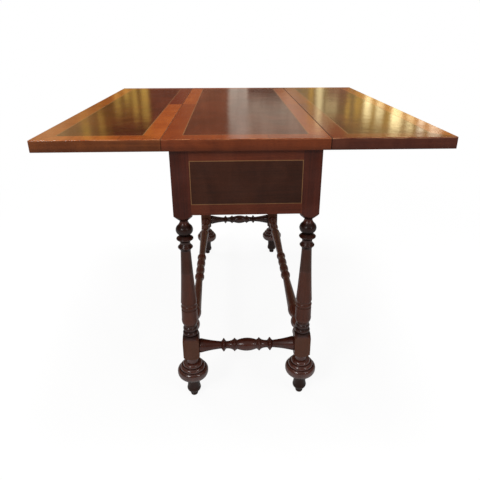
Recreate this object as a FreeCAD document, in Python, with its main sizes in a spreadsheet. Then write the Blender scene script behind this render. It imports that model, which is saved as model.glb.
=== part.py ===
import FreeCAD, Part

import os
import re

import Sketcher
from FreeCAD import Placement, Rotation, Vector

# Butterfly folding table in millimetres, +Z up. The origin is on the floor under the middle of the top.
# Y runs along the hinge joints of the top, with the front end at -Y. X runs across the leaves.
# Pieces are drawn in the quarter at +X and +Y, and mirrored from there to the other quarters.

sizes = {
    # the whole table and its top
    "TableHeight": 750,
    "TopLength": 1015,
    "CentreWidth": 379,  # from one hinge joint to the other
    "LeafWidth": 285,
    "LeafGap": 0.6,
    "TopThick": 27,
    "EdgeRound": 1.2,  # outer edges of the top
    "EndOverhang": 17,
    "SideOverhang": 14.5,
    # veneer of the top: crossbanding round a field, with a fine string between them
    "VeneerThick": 1,
    "BandWidth": 44,
    "StringWidth": 1.8,
    # frame of the top
    "LegSquare": 43.5,
    "ApronDepth": 158,
    "EndApronThick": 22,
    "SideApronThick": 20,
    "TenonLength": 18,
    "TenonThick": 8,
    "TenonMargin": 20,  # from the apron's edges to its tenon
    "GlueGap": 0.1,
    "InlayBand": 26,  # plain wood above and below the inlay of an end apron
    "BearerWidth": 40,
    "BearerThick": 22,
    "BearerSetback": 237,  # from the legs
    "BearerHousing": 8,
    "BearerScrew": 62,  # from the bearer's ends
    # fly brackets: two on each side, on wooden knuckle joints
    "FlyThick": 21,
    "FlyInset": 0.5,
    "FlySlack": 0.5,  # between a bracket and the apron behind it
    "FlyDrop": 0.4,  # between a bracket's top edge and the leaf over it
    "PivotSetback": 247,  # from the legs
    "BracketReach": 215,
    "BracketFoot": 34,
    "BracketTip": 42,
    "BracketWave": 9,
    "OffcutNose": 14,
    "SawGap": 2,
    "FingerCount": 5,
    "FingerGap": 0.5,
    "KnuckleGap": 0.5,
    "FlyPinRadius": 3,
    "PinSlack": 0.06,
    "PinInset": 2,
    # leaf hinges, let into the undersides
    "HingeInset": 55.5,  # from the ends of the top
    "HingeNarrow": 44,
    "HingeWide": 62,
    "PlateReach": 32,
    "FlapReach": 46,
    "PlateThick": 2.5,
    "BarrelRadius": 4.5,
    "BarrelDrop": 1.2,
    "BarrelSlack": 0.4,
    "BarrelGap": 0.2,
    "GrooveSlack": 0.5,
    "BarrelCount": 5,
    "HingePinRadius": 1.8,
    # wood screws
    "ScrewRadius": 2,
    "ScrewHead": 4,
    "ScrewLength": 16,
    "LongScrew": 34,
    # lower frame
    "StretcherHeight": 169,
    "BlockHalf": 22.5,
    "BlockShoulder": 18.5,
    "ShoulderRound": 1.5,
    "Quirk": 1,  # small step between two mouldings
    "RimRound": 2,  # rounded rim of a sharp ring
    "RoundTenon": 8,
    "RoundTenonLength": 12,
    # turned leg, upper group of mouldings
    "NeckRadius": 9.8,
    "NeckDrop": 21,
    "BulbWaist": 17.5,
    "BulbRise": 14,
    "BulbRadius": 21.3,
    "BulbFoot": 14.5,
    "BulbDrop": 22.5,
    "RingRadius": 21.2,
    "RingRise": 17,
    "CollarRadius": 18.8,
    "CollarRise": 18,
    "GrooveRadius": 12.7,
    "GrooveRise": 6,
    "RingStand": 2.5,
    "CollarStand": 2,
    "BulbHollow": 0.8,
    "FlareHollow": 1.6,
    # turned leg, taper and lower group
    "TaperFoot": 21.2,
    "TaperHollow": 0.6,  # how far the taper curves in from a straight line
    "TaperCove": 6,
    "BeadRadius": 21.6,
    "BeadRise": 10,
    "BeadFillet": 19.6,
    "BeadStand": 4,
    "VaseRadius": 21.4,
    "VaseRise": 48,
    "VaseRound": 20,
    "VaseNeck": 17,
    "VaseFoot": 5,
    "HighTorus": 19.6,
    "LowTorus": 21,
    "TorusRise": 13,
    # turned foot with its bun
    "FootHeight": 134,
    "FootTenon": 9,
    "FootTenonLength": 25,
    "ButtonRadius": 10.8,
    "ButtonRise": 12,
    "BallRadius": 19.5,
    "BallHeight": 24,
    "AnkleRadius": 18.3,
    "AnkleHeight": 30,
    "BunRadius": 42.8,
    "BunHeight": 86,
    "BunDrop": 20,
    "BunRise": 11.5,
    "StepRise": 8.6,
    "StepWidth": 7.8,
    "LipWidth": 5.5,
    # turned end stretchers
    "SwellRadius": 17.8,
    "SwellHalf": 26,
    "SwellNeck": 12.8,
    "RidgeRadius": 18.2,
    "RidgeRise": 14,
    "SpoolRadius": 10.6,
    "SpoolLength": 16,
    "TrumpetNeck": 10.4,
    "TrumpetRadius": 19.5,
    "TrumpetHollow": 1,
    "TrumpetRim": 5,
    # turned side stretchers
    "BarrelBead": 15.6,
    "BarrelBeadLength": 47,
    "HoopRadius": 16.6,
    "HoopLength": 30,
    "HoopStand": 11,
    "WaistRadius": 12.8,
    "RodNeck": 11.5,
    "UrnRadius": 17.5,
    "UrnLength": 43,
    "UrnNeck": 11.4,
    "UrnStand": 17,
    "KnopRadius": 17.2,
    "KnopLength": 36,
    "KnopNeck": 13.6,
    "KnopStand": 19,
    "CuffRadius": 18.6,
    "CuffLength": 21,
    "CuffNeck": 14.9,
    "EndRadius": 17.5,
    "EndLength": 22,
    "EndCove": 5,
}

doc = FreeCAD.newDocument("ButterflyTable")
sheet = doc.addObject("Spreadsheet::Sheet", "Sizes")
for row, (alias, value) in enumerate(sizes.items(), 1):
    sheet.set("A%d" % row, alias)
    sheet.set("B%d" % row, str(value))
    sheet.setAlias("B%d" % row, alias)
doc.recompute()

pieces = []

# Places used by many pieces, as sums of sheet values.
top_under = "TableHeight - TopThick"
core_top = "TableHeight - VeneerThick"
apron_low = "TableHeight - TopThick - ApronDepth"
leg_out_x = "CentreWidth/2 - SideOverhang"
leg_mid_x = leg_out_x + " - LegSquare/2"
leg_in_x = leg_out_x + " - LegSquare"
leg_out_y = "TopLength/2 - EndOverhang"
leg_mid_y = leg_out_y + " - LegSquare/2"
leg_in_y = leg_out_y + " - LegSquare"
pivot = leg_in_y + " - PivotSetback"
bearer_mid = leg_in_y + " - BearerSetback"
fly_out = leg_out_x + " - FlyInset"
fly_mid = fly_out + " - FlyThick/2"
side_apron_out = fly_out + " - FlyThick - FlySlack"
side_apron_in = side_apron_out + " - SideApronThick"
core_side = "CentreWidth/2 - LeafGap/2"
leaf_near = "CentreWidth/2 + LeafGap/2"
leaf_far = leaf_near + " + LeafWidth"
hinge_joint = "CentreWidth/2"
hinge_height = "TableHeight - TopThick - BarrelDrop"
corner_radius = "0.75*LegSquare"

along_x = Rotation(Vector(0, 1, 0), 90)  # turn a piece that stands on Z
along_y = Rotation(Vector(1, 0, 0), -90)


def amount(text):
    """The number behind a sum such as 'TableHeight - 2*TopThick + LegSquare/2'."""
    total, sign = 0.0, 1
    for term in text.split():
        if term in ("+", "-"):
            sign = 1 if term == "+" else -1
            continue
        product = 1.0
        for factor in term.split("*"):
            word, *divisors = factor.split("/")
            product *= sheet.get(word) if word in sizes else float(word)
            for divisor in divisors:
                product /= float(divisor)
        total += sign * product
    return total


def formula(text):
    """The same sum as an expression on the sheet."""
    return re.sub(r"[A-Z]\w+", lambda word: "Sizes." + word.group(), text)


def scaled(text, share):
    """A sum times a number, term by term."""
    return " ".join(term if term in ("+", "-") else "%g*%s" % (share, term) for term in text.split())


def between(low, high, share=0.5):
    """The sum that lies a share of the way from one sum to another."""
    return scaled(low, 1 - share) + " + " + scaled(high, share)


def bind(thing, **texts):
    for name, text in texts.items():
        thing.setExpression(name.replace("_", "."), formula(text))


def place(thing, x="0", y="0", z="0", turn=Rotation()):
    thing.Placement = Placement(Vector(), turn)
    bind(thing, Placement_Base_x=x, Placement_Base_y=y, Placement_Base_z=z)
    return thing


def block(name, x, y, z):
    """A box between two sums along each axis."""
    box = doc.addObject("Part::Box", name)
    spans = ["(%s) - (%s)" % (high, low) for low, high in (x, y, z)]
    bind(box, Length=spans[0], Width=spans[1], Height=spans[2])
    return place(box, x[0], y[0], z[0])


def rod(name, radius, length, x, y, z, turn=Rotation()):
    cylinder = doc.addObject("Part::Cylinder", name)
    bind(cylinder, Radius=radius, Height=length)
    return place(cylinder, x, y, z, turn)


def fuse(name, *things):
    joined = doc.addObject("Part::MultiFuse", name)
    joined.Shapes = list(things)
    joined.Refine = True
    return joined


def cut(name, base, *tools):
    result = doc.addObject("Part::Cut", name)
    result.Base = base
    result.Tool = tools[0] if len(tools) == 1 else group(name + "Tools", *tools)
    return result


def common(name, first, second):
    result = doc.addObject("Part::MultiCommon", name)
    result.Shapes = [first, second]
    return result


def group(name, *things):
    compound = doc.addObject("Part::Compound", name)
    compound.Links = list(things)
    return compound


def mirrored(name, source, normal):
    copy = doc.addObject("Part::Mirroring", name)
    copy.Source = source
    copy.Normal = normal
    return copy


def keep(thing, label):
    """Marks a thing as a finished piece under its own name."""
    thing.Label = label
    pieces.append(thing)
    return thing


def both_sides(thing, label):
    keep(thing, label + "_right")
    keep(mirrored("Left" + thing.Name, thing, Vector(1, 0, 0)), label + "_left")


def both_ends(thing, label):
    keep(thing, label + "_rear")
    keep(mirrored("Front" + thing.Name, thing, Vector(0, 1, 0)), label + "_front")


def all_quarters(thing, label):
    keep(thing, label + "_rear_right")
    front = keep(mirrored("Front" + thing.Name, thing, Vector(0, 1, 0)), label + "_front_right")
    keep(mirrored("Left" + thing.Name, thing, Vector(1, 0, 0)), label + "_rear_left")
    keep(mirrored("Left" + front.Name, front, Vector(1, 0, 0)), label + "_front_left")


def origin_plane(body, role):
    return next(part for part in body.Origin.OriginFeatures if part.Role == role)


def outline(body, role, path):
    """A closed sketch. Its corners are pairs of sums, and a third item marks the middle of an arc."""
    sketch = body.newObject("Sketcher::SketchObject", body.Name + "Outline")
    sketch.AttachmentSupport = (origin_plane(body, role), [""])
    sketch.MapMode = "FlatFace"
    corners = [step for step in path if len(step) == 2]
    middles = {}
    for index, step in enumerate(path):
        if len(step) == 3:
            middles[corners.index(path[index - 1])] = step
    spots = [Vector(amount(x), amount(y), 0) for x, y in corners]
    ends, constraints, texts = [], [], {}

    def pin_down(edge, end, x, y):
        for kind, axis, text in (("DistanceX", -2, x), ("DistanceY", -1, y)):
            if text == "0":
                constraints.append(Sketcher.Constraint("PointOnObject", edge, end, axis))
                continue
            texts[len(constraints)] = text
            constraints.append(Sketcher.Constraint(kind, -1, 1, edge, end, amount(text)))

    for index, start in enumerate(spots):
        stop = spots[(index + 1) % len(spots)]
        if index not in middles:
            ends.append((sketch.addGeometry(Part.LineSegment(start, stop), False), 1, 2))
            continue
        x, y, _ = middles[index]
        middle = Vector(amount(x), amount(y), 0)
        turns_left = (middle - start).cross(stop - middle).z > 0
        arc = Part.Arc(start, middle, stop) if turns_left else Part.Arc(stop, middle, start)
        edge = sketch.addGeometry(arc, False)
        ends.append((edge, 1, 2) if turns_left else (edge, 2, 1))
        dot = sketch.addGeometry(Part.Point(middle), True)
        constraints.append(Sketcher.Constraint("PointOnObject", dot, 1, edge))
        pin_down(dot, 1, x, y)
    for index, (edge, start, _) in enumerate(ends):
        before, _, stop = ends[index - 1]
        constraints.append(Sketcher.Constraint("Coincident", before, stop, edge, start))
        pin_down(edge, start, *corners[index])
    sketch.addConstraint(constraints)
    for index, text in texts.items():
        sketch.setExpression("Constraints[%d]" % index, formula(text))
    return sketch


def turned(name, path):
    """A turned body about Z from a profile of (radius, height) sums."""
    body = doc.addObject("PartDesign::Body", name)
    sketch = outline(body, "XZ_Plane", path)
    lathe = body.newObject("PartDesign::Revolution", name + "Lathe")
    lathe.Profile = sketch
    lathe.ReferenceAxis = (sketch, ["V_Axis"])
    lathe.Angle = 360
    sketch.Visibility = False
    return body


def padded(name, role, path, thickness):
    """A board cut to an outline."""
    body = doc.addObject("PartDesign::Body", name)
    sketch = outline(body, role, path)
    pad = body.newObject("PartDesign::Pad", name + "Pad")
    pad.Profile = sketch
    bind(pad, Length=thickness)
    sketch.Visibility = False
    return body


def eased_board(name, x, square_ends):
    """A board of the top with its outer edges rounded. The faces at the given places on X stay square."""
    (low, high), near, far = x, "-1*TopLength/2", "TopLength/2"
    corners = [(low, near), (high, near), (high, far), (low, far)]
    body = padded(name, "XY_Plane", corners, "TopThick")
    doc.recompute()
    board = body.Tip
    outer = [
        "Edge%d" % number for number, edge in enumerate(board.Shape.Edges, 1)
        if not any(edge.BoundBox.XMin > amount(face) - 0.001 and edge.BoundBox.XMax < amount(face) + 0.001
                   for face in square_ends)
    ]
    easing = body.newObject("PartDesign::Fillet", name + "Easing")
    easing.Base = (board, outer)
    bind(easing, Radius="EdgeRound")
    return place(body, z=top_under)


def copies(name, thing, spots):
    """One shape set down in several places, as separate solids of one thing."""
    doc.recompute()
    feature = doc.addObject("Part::Feature", name)
    feature.Shape = Part.Compound([thing.Shape.translated(spot) for spot in spots])
    return feature


def bead(low, rise, groove, radius):
    """Steps of a round moulding that stands on the sum low."""
    return [(groove, low), (radius, "%s + %s/2" % (low, rise), "arc"), (groove, "%s + %s" % (low, rise))]


def flange(low, rise, groove, radius):
    """Steps of a ring with sloping sides and a rounded rim."""
    return [
        (groove, low),
        (radius + " - RimRound", "%s + 0.34*%s" % (low, rise)),
        (radius, "%s + %s/2" % (low, rise), "arc"),
        (radius + " - RimRound", "%s + 0.66*%s" % (low, rise)),
        (groove, "%s + %s" % (low, rise)),
    ]


def build_legs():
    """Square blanks, turned between the blocks. Heights in the profile start at the leg's lower end."""
    whole = "TableHeight - TopThick - FootHeight"
    block_low = "StretcherHeight - FootHeight - BlockHalf"
    block_high = "StretcherHeight - FootHeight + BlockHalf"
    torus = block_high + " + BlockShoulder"
    second_torus = torus + " + TorusRise + Quirk"
    vase = second_torus + " + TorusRise + VaseFoot"
    lower_bead = vase + " + VaseRise + BeadStand"
    cove = lower_bead + " + BeadRise + 2*Quirk"
    taper_low = cove + " + TaperCove"
    neck = whole + " - ApronDepth - NeckDrop"
    waist = neck + " - BulbRise"
    ring = waist + " - BulbDrop - RingStand"
    collar = ring + " - RingRise - GrooveRise"
    taper_high = collar + " - CollarRise - CollarStand"
    shoulder = between("VaseNeck", corner_radius) + " + ShoulderRound"
    path = [
        ("0", "0"),
        ("VaseNeck", "0"),
        (shoulder, scaled(block_low, 0.5) + " - ShoulderRound", "arc"),
        (corner_radius, block_low),
        (corner_radius, block_high),
        (shoulder, block_high + " + BlockShoulder/2 + ShoulderRound", "arc"),
        ("VaseNeck", torus),
        ("LowTorus", torus + " + TorusRise/2", "arc"),
        ("VaseNeck", torus + " + TorusRise"),
        *bead(second_torus, "TorusRise", "VaseNeck", "HighTorus"),
        ("VaseNeck", vase),
        (between("VaseNeck", "VaseRadius", 0.8), vase + " + 0.33*VaseRound", "arc"),
        ("VaseRadius", vase + " + VaseRound"),
        ("0.98*VaseRadius", vase + " + VaseRise"),
        ("BeadFillet", vase + " + VaseRise + Quirk"),
        *bead(lower_bead, "BeadRise", "BeadFillet", "BeadRadius"),
        ("BeadFillet", cove),
        (between("BeadFillet", "TaperFoot", 0.2), cove + " + 0.6*TaperCove", "arc"),
        ("TaperFoot", taper_low),
        (between("TaperFoot", "GrooveRadius", 0.325) + " - TaperHollow",
         between(taper_low, taper_high, 0.325), "arc"),
        ("GrooveRadius", taper_high),
        *flange(collar + " - CollarRise", "CollarRise", "GrooveRadius", "CollarRadius"),
        *flange(ring + " - RingRise", "RingRise", "GrooveRadius", "RingRadius"),
        ("BulbFoot", waist + " - BulbDrop"),
        ("BulbRadius", waist + " - 0.53*BulbDrop", "arc"),
        ("BulbWaist", waist),
        (between("BulbWaist", "NeckRadius", 0.6) + " - BulbHollow", waist + " + BulbRise/2", "arc"),
        ("NeckRadius", neck),
        (between("NeckRadius", corner_radius) + " - FlareHollow", neck + " + 0.4*NeckDrop", "arc"),
        (corner_radius, neck + " + NeckDrop"),
        (corner_radius, whole),
        ("0", whole),
    ]
    lathe_work = place(turned("LegTurning", path), leg_mid_x, leg_mid_y, "FootHeight")
    blank = block("LegBlank", (leg_in_x, leg_out_x), (leg_in_y, leg_out_y), ("FootHeight", top_under))
    stick = common("LegStick", blank, lathe_work)
    tenon_low = apron_low + " + TenonMargin - GlueGap"
    tenon_high = top_under + " - TenonMargin + GlueGap"
    end_mid = leg_out_y + " - EndApronThick/2"
    side_mid = side_apron_out + " - SideApronThick/2"
    sockets = [
        rod("FootSocket", "FootTenon + GlueGap", "FootTenonLength + GlueGap",
            leg_mid_x, leg_mid_y, "FootHeight"),
        rod("EndRoundSocket", "RoundTenon + GlueGap", "RoundTenonLength + GlueGap",
            leg_in_x, leg_mid_y, "StretcherHeight", along_x),
        rod("SideRoundSocket", "RoundTenon + GlueGap", "RoundTenonLength + GlueGap",
            leg_mid_x, leg_in_y, "StretcherHeight", along_y),
        block("EndMortise", (leg_in_x, leg_in_x + " + TenonLength + GlueGap"),
              (end_mid + " - TenonThick/2 - GlueGap", end_mid + " + TenonThick/2 + GlueGap"),
              (tenon_low, tenon_high)),
        block("SideMortise", (side_mid + " - TenonThick/2 - GlueGap", side_mid + " + TenonThick/2 + GlueGap"),
              (leg_in_y, leg_in_y + " + TenonLength + GlueGap"), (tenon_low, tenon_high)),
    ]
    all_quarters(cut("Leg", stick, *sockets), "leg")


def build_feet():
    """Feet turned apart from the legs, because their buns are wider than a leg's square."""
    rim = "BunHeight + BunRise"
    shaft = rim + " + 2.4*StepRise"
    steps = []
    for count in (1, 2):
        edge = "BunRadius - %d*StepWidth" % count
        low = rim + " + %g*StepRise" % (1.2 * count - 1.2)
        steps += [
            (edge, low),
            (edge, low + " + 0.2*StepRise"),
            (edge + " - 0.25*LipWidth", low + " + 0.8*StepRise", "arc"),
            (edge + " - LipWidth", low + " + 1.2*StepRise"),
        ]
    path = [
        ("0", "0"),
        ("0.85*ButtonRadius", "0"),
        ("ButtonRadius", "0.5*ButtonRise", "arc"),
        ("0.85*ButtonRadius", "ButtonRise"),
        ("BallRadius", "BallHeight", "arc"),
        ("AnkleRadius", "AnkleHeight"),
        ("0.94*AnkleRadius", between("AnkleHeight", "BunHeight - BunDrop"), "arc"),
        ("1.08*AnkleRadius", "BunHeight - BunDrop"),
        ("0.89*BunRadius", "BunHeight - 0.72*BunDrop", "arc"),
        ("BunRadius", "BunHeight"),
        ("BunRadius - 0.2*LipWidth", "BunHeight + 0.6*BunRise", "arc"),
        ("BunRadius - LipWidth", rim),
        *steps,
        ("VaseNeck", shaft + " + 0.2*StepRise"),
        ("0.95*VaseNeck", between(shaft, "FootHeight"), "arc"),
        ("VaseNeck", "FootHeight"),
        ("FootTenon", "FootHeight"),
        ("FootTenon", "FootHeight + FootTenonLength"),
        ("0", "FootHeight + FootTenonLength"),
    ]
    all_quarters(place(turned("Foot", path), leg_mid_x, leg_mid_y), "foot")


def mirrored_turning(name, path):
    """Half of a turned rail from its middle outwards, and the same half mirrored."""
    body = turned(name, path)
    other_half = body.newObject("PartDesign::Mirrored", name + "OtherHalf")
    other_half.Originals = [body.Tip]
    other_half.MirrorPlane = (origin_plane(body, "XY_Plane"), [""])
    body.Tip = other_half
    return body


def build_end_stretchers():
    """Short rails with a swelling between two pairs of ridges, and trumpet ends."""
    half = leg_in_x
    inner_ridge = "SwellHalf + Quirk"
    outer_ridge = inner_ridge + " + RidgeRise + SpoolLength"
    trumpet = outer_ridge + " + RidgeRise + 2*Quirk"
    trumpet_end = half + " - TrumpetRim"
    path = [
        ("0", "0"),
        ("SwellRadius", "0"),
        (between("SwellRadius", "SwellNeck", 0.28), "0.54*SwellHalf", "arc"),
        ("SwellNeck", "SwellHalf"),
        *flange(inner_ridge, "RidgeRise", "SwellNeck", "RidgeRadius"),
        ("SpoolRadius", inner_ridge + " + RidgeRise + 0.55*SpoolLength", "arc"),
        *flange(outer_ridge, "RidgeRise", "TrumpetNeck", "RidgeRadius"),
        ("TrumpetNeck", trumpet),
        (between("TrumpetNeck", "TrumpetRadius") + " - TrumpetHollow", between(trumpet, trumpet_end), "arc"),
        ("TrumpetRadius", trumpet_end),
        ("0.96*TrumpetRadius", half),
        ("RoundTenon", half),
        ("RoundTenon", half + " + RoundTenonLength"),
        ("0", half + " + RoundTenonLength"),
    ]
    rail = mirrored_turning("EndStretcher", path)
    both_ends(place(rail, "0", leg_mid_y, "StretcherHeight", along_x), "stretcher")


def build_side_stretchers():
    """Long rails with four mouldings in the middle, and an urn, a knop and a cuff at each end."""
    half = leg_in_y
    middle_bead = "3*Quirk"
    hoop = middle_bead + " + BarrelBeadLength + HoopStand"
    cuff = half + " - EndLength - CuffLength"
    knop = cuff + " - KnopStand - KnopLength"
    urn = knop + " - UrnStand - UrnLength"
    path = [
        ("0", "0"),
        ("WaistRadius", "0"),
        *bead(middle_bead, "BarrelBeadLength", "WaistRadius", "BarrelBead"),
        *bead(hoop, "HoopLength", "WaistRadius", "HoopRadius"),
        ("RodNeck", hoop + " + HoopLength + 3*Quirk"),
        ("0.96*UrnRadius", urn),
        ("UrnRadius", urn + " + 0.48*UrnLength", "arc"),
        ("UrnNeck", urn + " + UrnLength"),
        ("0.96*UrnNeck", knop + " - UrnStand/2", "arc"),
        *bead(knop, "KnopLength", "KnopNeck", "KnopRadius"),
        ("0.93*KnopNeck", knop + " + KnopLength + 0.45*KnopStand", "arc"),
        *bead(cuff, "CuffLength", "CuffNeck", "CuffRadius"),
        ("EndRadius", cuff + " + CuffLength + EndCove"),
        ("EndRadius", half),
        ("RoundTenon", half),
        ("RoundTenon", half + " + RoundTenonLength"),
        ("0", half + " + RoundTenonLength"),
    ]
    rail = mirrored_turning("SideStretcher", path)
    both_sides(place(rail, leg_mid_x, "0", "StretcherHeight", along_y), "stretcher")


def mitred_frame(name, half_x, half_y, width, thickness, spot, tilt=Rotation()):
    """Four strips with mitred ends round a rectangle."""
    strips = []
    for quarter in range(4):
        out, side = (half_y, half_x) if quarter % 2 == 0 else (half_x, half_y)
        strip = doc.addObject("Part::Wedge", "%sStrip%d" % (name, quarter))
        inner = "(%s) - %s" % (side, width)
        bind(strip, Xmin="-(%s)" % side, Xmax=side, X2min="-(%s)" % inner, X2max=inner,
             Ymin="-(%s)" % out, Ymax="-(%s) + %s" % (out, width), Zmax=thickness, Z2max=thickness)
        strip.Zmin = strip.Z2min = 0
        strips.append(place(strip, *spot, tilt.multiply(Rotation(Vector(0, 0, 1), 90 * quarter))))
    return group(name, *strips)


def build_veneers():
    """Crossbanding, string and field on the centre and on a leaf."""
    half_y = "TopLength/2"
    for name, middle, half_x in (
        ("Centre", "0", core_side),
        ("Leaf", leaf_near + " + LeafWidth/2", "LeafWidth/2"),
    ):
        spot = (middle, "0", core_top)
        string_x, string_y = half_x + " - BandWidth", half_y + " - BandWidth"
        field_x, field_y = string_x + " - StringWidth", string_y + " - StringWidth"
        banding = common(name + "Crossbanding", eased_tops[name],
                         mitred_frame(name + "Banding", half_x, half_y, "BandWidth", "VeneerThick", spot))
        string = mitred_frame(name + "String", string_x, string_y, "StringWidth", "VeneerThick", spot)
        field = block(name + "Field", ("%s - (%s)" % (middle, field_x), "%s + %s" % (middle, field_x)),
                      ("-(%s)" % field_y, field_y), (core_top, "TableHeight"))
        for thing, label in ((banding, "banding"), (string, "stringing"), (field, "field")):
            if name == "Centre":
                keep(thing, label + "_centre")
            else:
                both_sides(thing, label)


def build_end_aprons():
    """Tenoned boards flush with the legs, each with an inlaid field and string."""
    half_x = leg_in_x
    half_z = "ApronDepth/2 - InlayBand"
    middle_z = apron_low + " + ApronDepth/2"
    middle_y = leg_out_y + " - EndApronThick/2"
    board = block("EndBoard", ("-(%s)" % leg_in_x, leg_in_x), (leg_out_y + " - EndApronThick", leg_out_y),
                  (apron_low, top_under))
    tenons = block("EndTenons", ("-(%s) - TenonLength" % leg_in_x, leg_in_x + " + TenonLength"),
                   (middle_y + " - TenonThick/2", middle_y + " + TenonThick/2"),
                   (apron_low + " + TenonMargin", top_under + " - TenonMargin"))
    bed = block("InlayBed", ("-(%s)" % half_x, half_x),
                (leg_out_y + " - VeneerThick", leg_out_y + " + VeneerThick"),
                (middle_z + " - (%s)" % half_z, middle_z + " + %s" % half_z))
    both_ends(cut("EndApron", fuse("EndApronBoard", board, tenons), bed), "end_apron")
    tilt = Rotation(Vector(1, 0, 0), 90)
    string = mitred_frame("EndString", half_x, half_z, "StringWidth", "VeneerThick",
                          ("0", leg_out_y, middle_z), tilt)
    both_ends(string, "end_stringing")
    field_x, field_z = half_x + " - StringWidth", half_z + " - StringWidth"
    field = block("EndField", ("-(%s)" % field_x, field_x), (leg_out_y + " - VeneerThick", leg_out_y),
                  (middle_z + " - (%s)" % field_z, middle_z + " + %s" % field_z))
    both_ends(field, "end_field")


def build_side_aprons():
    """Plain tenoned boards behind the fly brackets."""
    middle_x = side_apron_out + " - SideApronThick/2"
    board = block("SideBoard", (side_apron_in, side_apron_out), ("-(%s)" % leg_in_y, leg_in_y),
                  (apron_low, top_under))
    tenons = block("SideTenons", (middle_x + " - TenonThick/2", middle_x + " + TenonThick/2"),
                   ("-(%s) - TenonLength" % leg_in_y, leg_in_y + " + TenonLength"),
                   (apron_low + " + TenonMargin", top_under + " - TenonMargin"))
    housing = block("Housing", (side_apron_in, side_apron_in + " + BearerHousing + GlueGap"),
                    (bearer_mid + " - BearerWidth/2 - GlueGap", bearer_mid + " + BearerWidth/2 + GlueGap"),
                    (top_under + " - BearerThick - GlueGap", top_under))
    other_housing = mirrored("OtherHousing", housing, Vector(0, 1, 0))
    blank = fuse("SideApronBlank", board, tenons)
    both_sides(cut("SideApron", blank, housing, other_housing, fly_rail_screws), "side_apron")


def finger_slots(name, near, far, first):
    """Slots between the fingers of a knuckle joint, from every second level on."""
    level = "ApronDepth/%d" % sheet.get("FingerCount")
    slots = []
    for index in range(first, int(sheet.get("FingerCount")), 2):
        low = apron_low + " + %d*%s - FingerGap/2" % (index, level)
        high = apron_low + " + %d*%s + FingerGap/2" % (index + 1, level)
        slots.append(block("%sSlot%d" % (name, index), (fly_out + " - 2*FlyThick", fly_out + " + FlyThick"),
                           (near, far), (low, high)))
    return slots


def bracket_outline(top, shift):
    """A bracket from the side: deep at the knuckle, with an ogee up to a slim tip."""
    start, tip = ("%s + %s + %s" % (pivot, reach, shift) for reach in ("BracketFoot", "BracketReach"))
    low, tip_low = apron_low + " - " + shift, top_under + " - BracketTip - " + shift
    return [
        (pivot, low),
        (start, low),
        (between(start, tip, 0.25) + " + BracketWave", between(low, tip_low, 0.25), "arc"),
        (between(start, tip), between(low, tip_low)),
        (between(start, tip, 0.75) + " - BracketWave", between(low, tip_low, 0.75), "arc"),
        (tip, tip_low),
        (tip, top),
        (pivot, top),
    ]


def build_fly_rails():
    """Fixed rails with knuckles at both ends, brackets that swing on them, and the offcuts beside them."""
    fixed = block("FlyRailHalf", (side_apron_out, fly_out), ("0", pivot), (apron_low, top_under))
    barrel = rod("FlyRailBarrel", "FlyThick/2", "ApronDepth", fly_mid, pivot, apron_low)
    slots = finger_slots("FlyRail", pivot + " - FlyThick/2 - KnuckleGap", pivot + " + FlyThick", 1)
    bore = rod("FlyRailBore", "FlyPinRadius", "ApronDepth", fly_mid, pivot, apron_low)
    rail_half = cut("FlyRailEnd", fuse("FlyRailBlank", fixed, barrel), *slots, bore)
    rail = fuse("FlyRail", rail_half, mirrored("FlyRailOtherEnd", rail_half, Vector(0, 1, 0)))
    both_sides(cut("BoredFlyRail", rail, fly_rail_screws), "fly_rail")

    board = padded("BracketBoard", "YZ_Plane", bracket_outline(top_under + " - FlyDrop", "0"), "FlyThick")
    place(board, fly_out + " - FlyThick")
    arm_barrel = rod("BracketBarrel", "FlyThick/2", "ApronDepth - FlyDrop", fly_mid, pivot, apron_low)
    arm_slots = finger_slots("Bracket", pivot + " - FlyThick", pivot + " + FlyThick/2 + KnuckleGap", 0)
    arm_bore = rod("BracketBore", "FlyPinRadius + PinSlack", "ApronDepth", fly_mid, pivot, apron_low)
    all_quarters(cut("Bracket", fuse("BracketBlank", board, arm_barrel), *arm_slots, arm_bore), "fly_bracket")

    offcut_start = pivot + " + BracketFoot + OffcutNose"
    offcut = block("OffcutBoard", (side_apron_out, fly_out), (offcut_start, leg_in_y), (apron_low, top_under))
    kerf = bracket_outline(top_under + " + SawGap", "SawGap")
    sweep = padded("OffcutSweep", "YZ_Plane", kerf, "2*FlyThick")
    place(sweep, fly_out + " - 1.5*FlyThick")
    all_quarters(cut("Offcut", offcut, sweep), "fly_rail_end")

    pin = rod("FlyPin", "FlyPinRadius", "ApronDepth - 2*PinInset", fly_mid, pivot, apron_low + " + PinInset")
    all_quarters(pin, "fly_pin")


def screw(name, length):
    """A countersunk wood screw that points up from Z = 0."""
    return turned(name, [
        ("0", "0"),
        ("ScrewHead", "0"),
        ("ScrewRadius", "0.5*ScrewHead"),
        ("ScrewRadius", length + " - 2*ScrewRadius"),
        ("0.3*ScrewRadius", length),
        ("0", length),
    ])


def build_bearers():
    """Two cross pieces housed in the side aprons, screwed up into the centre board."""
    ends = side_apron_in + " + BearerHousing"
    bearer = block("Bearer", ("-(%s)" % ends, ends),
                   (bearer_mid + " - BearerWidth/2", bearer_mid + " + BearerWidth/2"),
                   (top_under + " - BearerThick", top_under))
    both_ends(cut("BoredBearer", bearer, top_screws), "bearer")


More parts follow.
